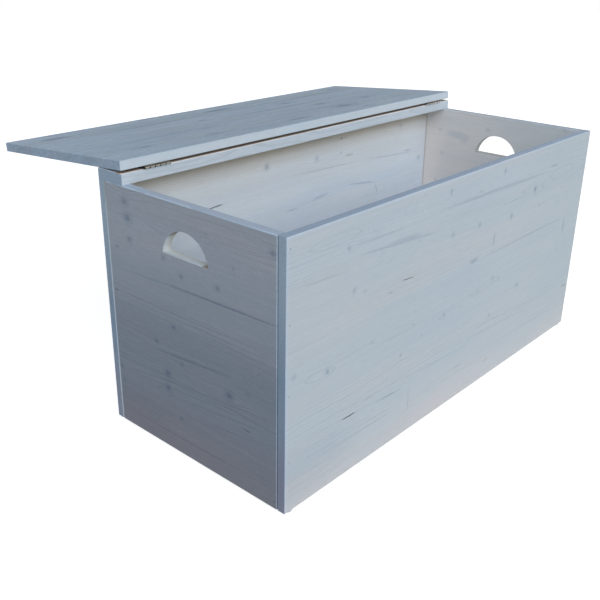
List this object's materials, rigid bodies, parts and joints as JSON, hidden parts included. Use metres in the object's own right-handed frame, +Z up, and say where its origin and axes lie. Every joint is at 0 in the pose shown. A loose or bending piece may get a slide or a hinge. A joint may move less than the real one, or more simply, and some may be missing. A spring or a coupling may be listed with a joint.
{
  "type": "storage chest",
  "caption": "Long low wooden storage chest with a hinged lid thrown open, a fixed hinge rail at the back, cut hand holes in the ends and small round glides.",
  "frame": {"origin": "on the floor, halfway along the chest, straight under the pin of the lid's hinges, which is also the middle of the footprint of chest and open lid", "axes": "+X along the chest to the right seen from the front, +Y from the front to the back, +Z up"},
  "size_m": [1.08, 0.8024, 0.5597],
  "materials": {
    "glazed_wood": "softwood with a thin white and blue-grey glaze, matt",
    "hinge_steel": "zinc-plated steel, satin",
    "fastener_steel": "bright steel",
    "glide_plastic": "off-white moulded plastic"
  },
  "bodies": {
    "carcass": {"front_panel": "glazed_wood", "back_panel": "glazed_wood", "left_end_panel": "glazed_wood", "right_end_panel": "glazed_wood", "bottom_panel": "glazed_wood", "hinge_rail": "glazed_wood", "glides": "glide_plastic", "glide_nails": "fastener_steel", "front_brads": "fastener_steel", "back_brads": "fastener_steel", "rail_brads": "fastener_steel", "left_rail_leaf": "hinge_steel", "right_rail_leaf": "hinge_steel", "left_hinge_pin": "hinge_steel", "right_hinge_pin": "hinge_steel", "rail_hinge_screws": "fastener_steel"},
    "lid": {"lid_panel": "glazed_wood", "left_lid_leaf": "hinge_steel", "right_lid_leaf": "hinge_steel", "lid_hinge_screws": "fastener_steel"}
  },
  "joints": [
    {"name": "lid_hinge", "type": "hinge", "parent": "carcass", "child": "lid", "pos_m": [0, 0, 0.53905], "axis": [1, 0, 0], "range_deg": [0, 184.92]}
  ]
}
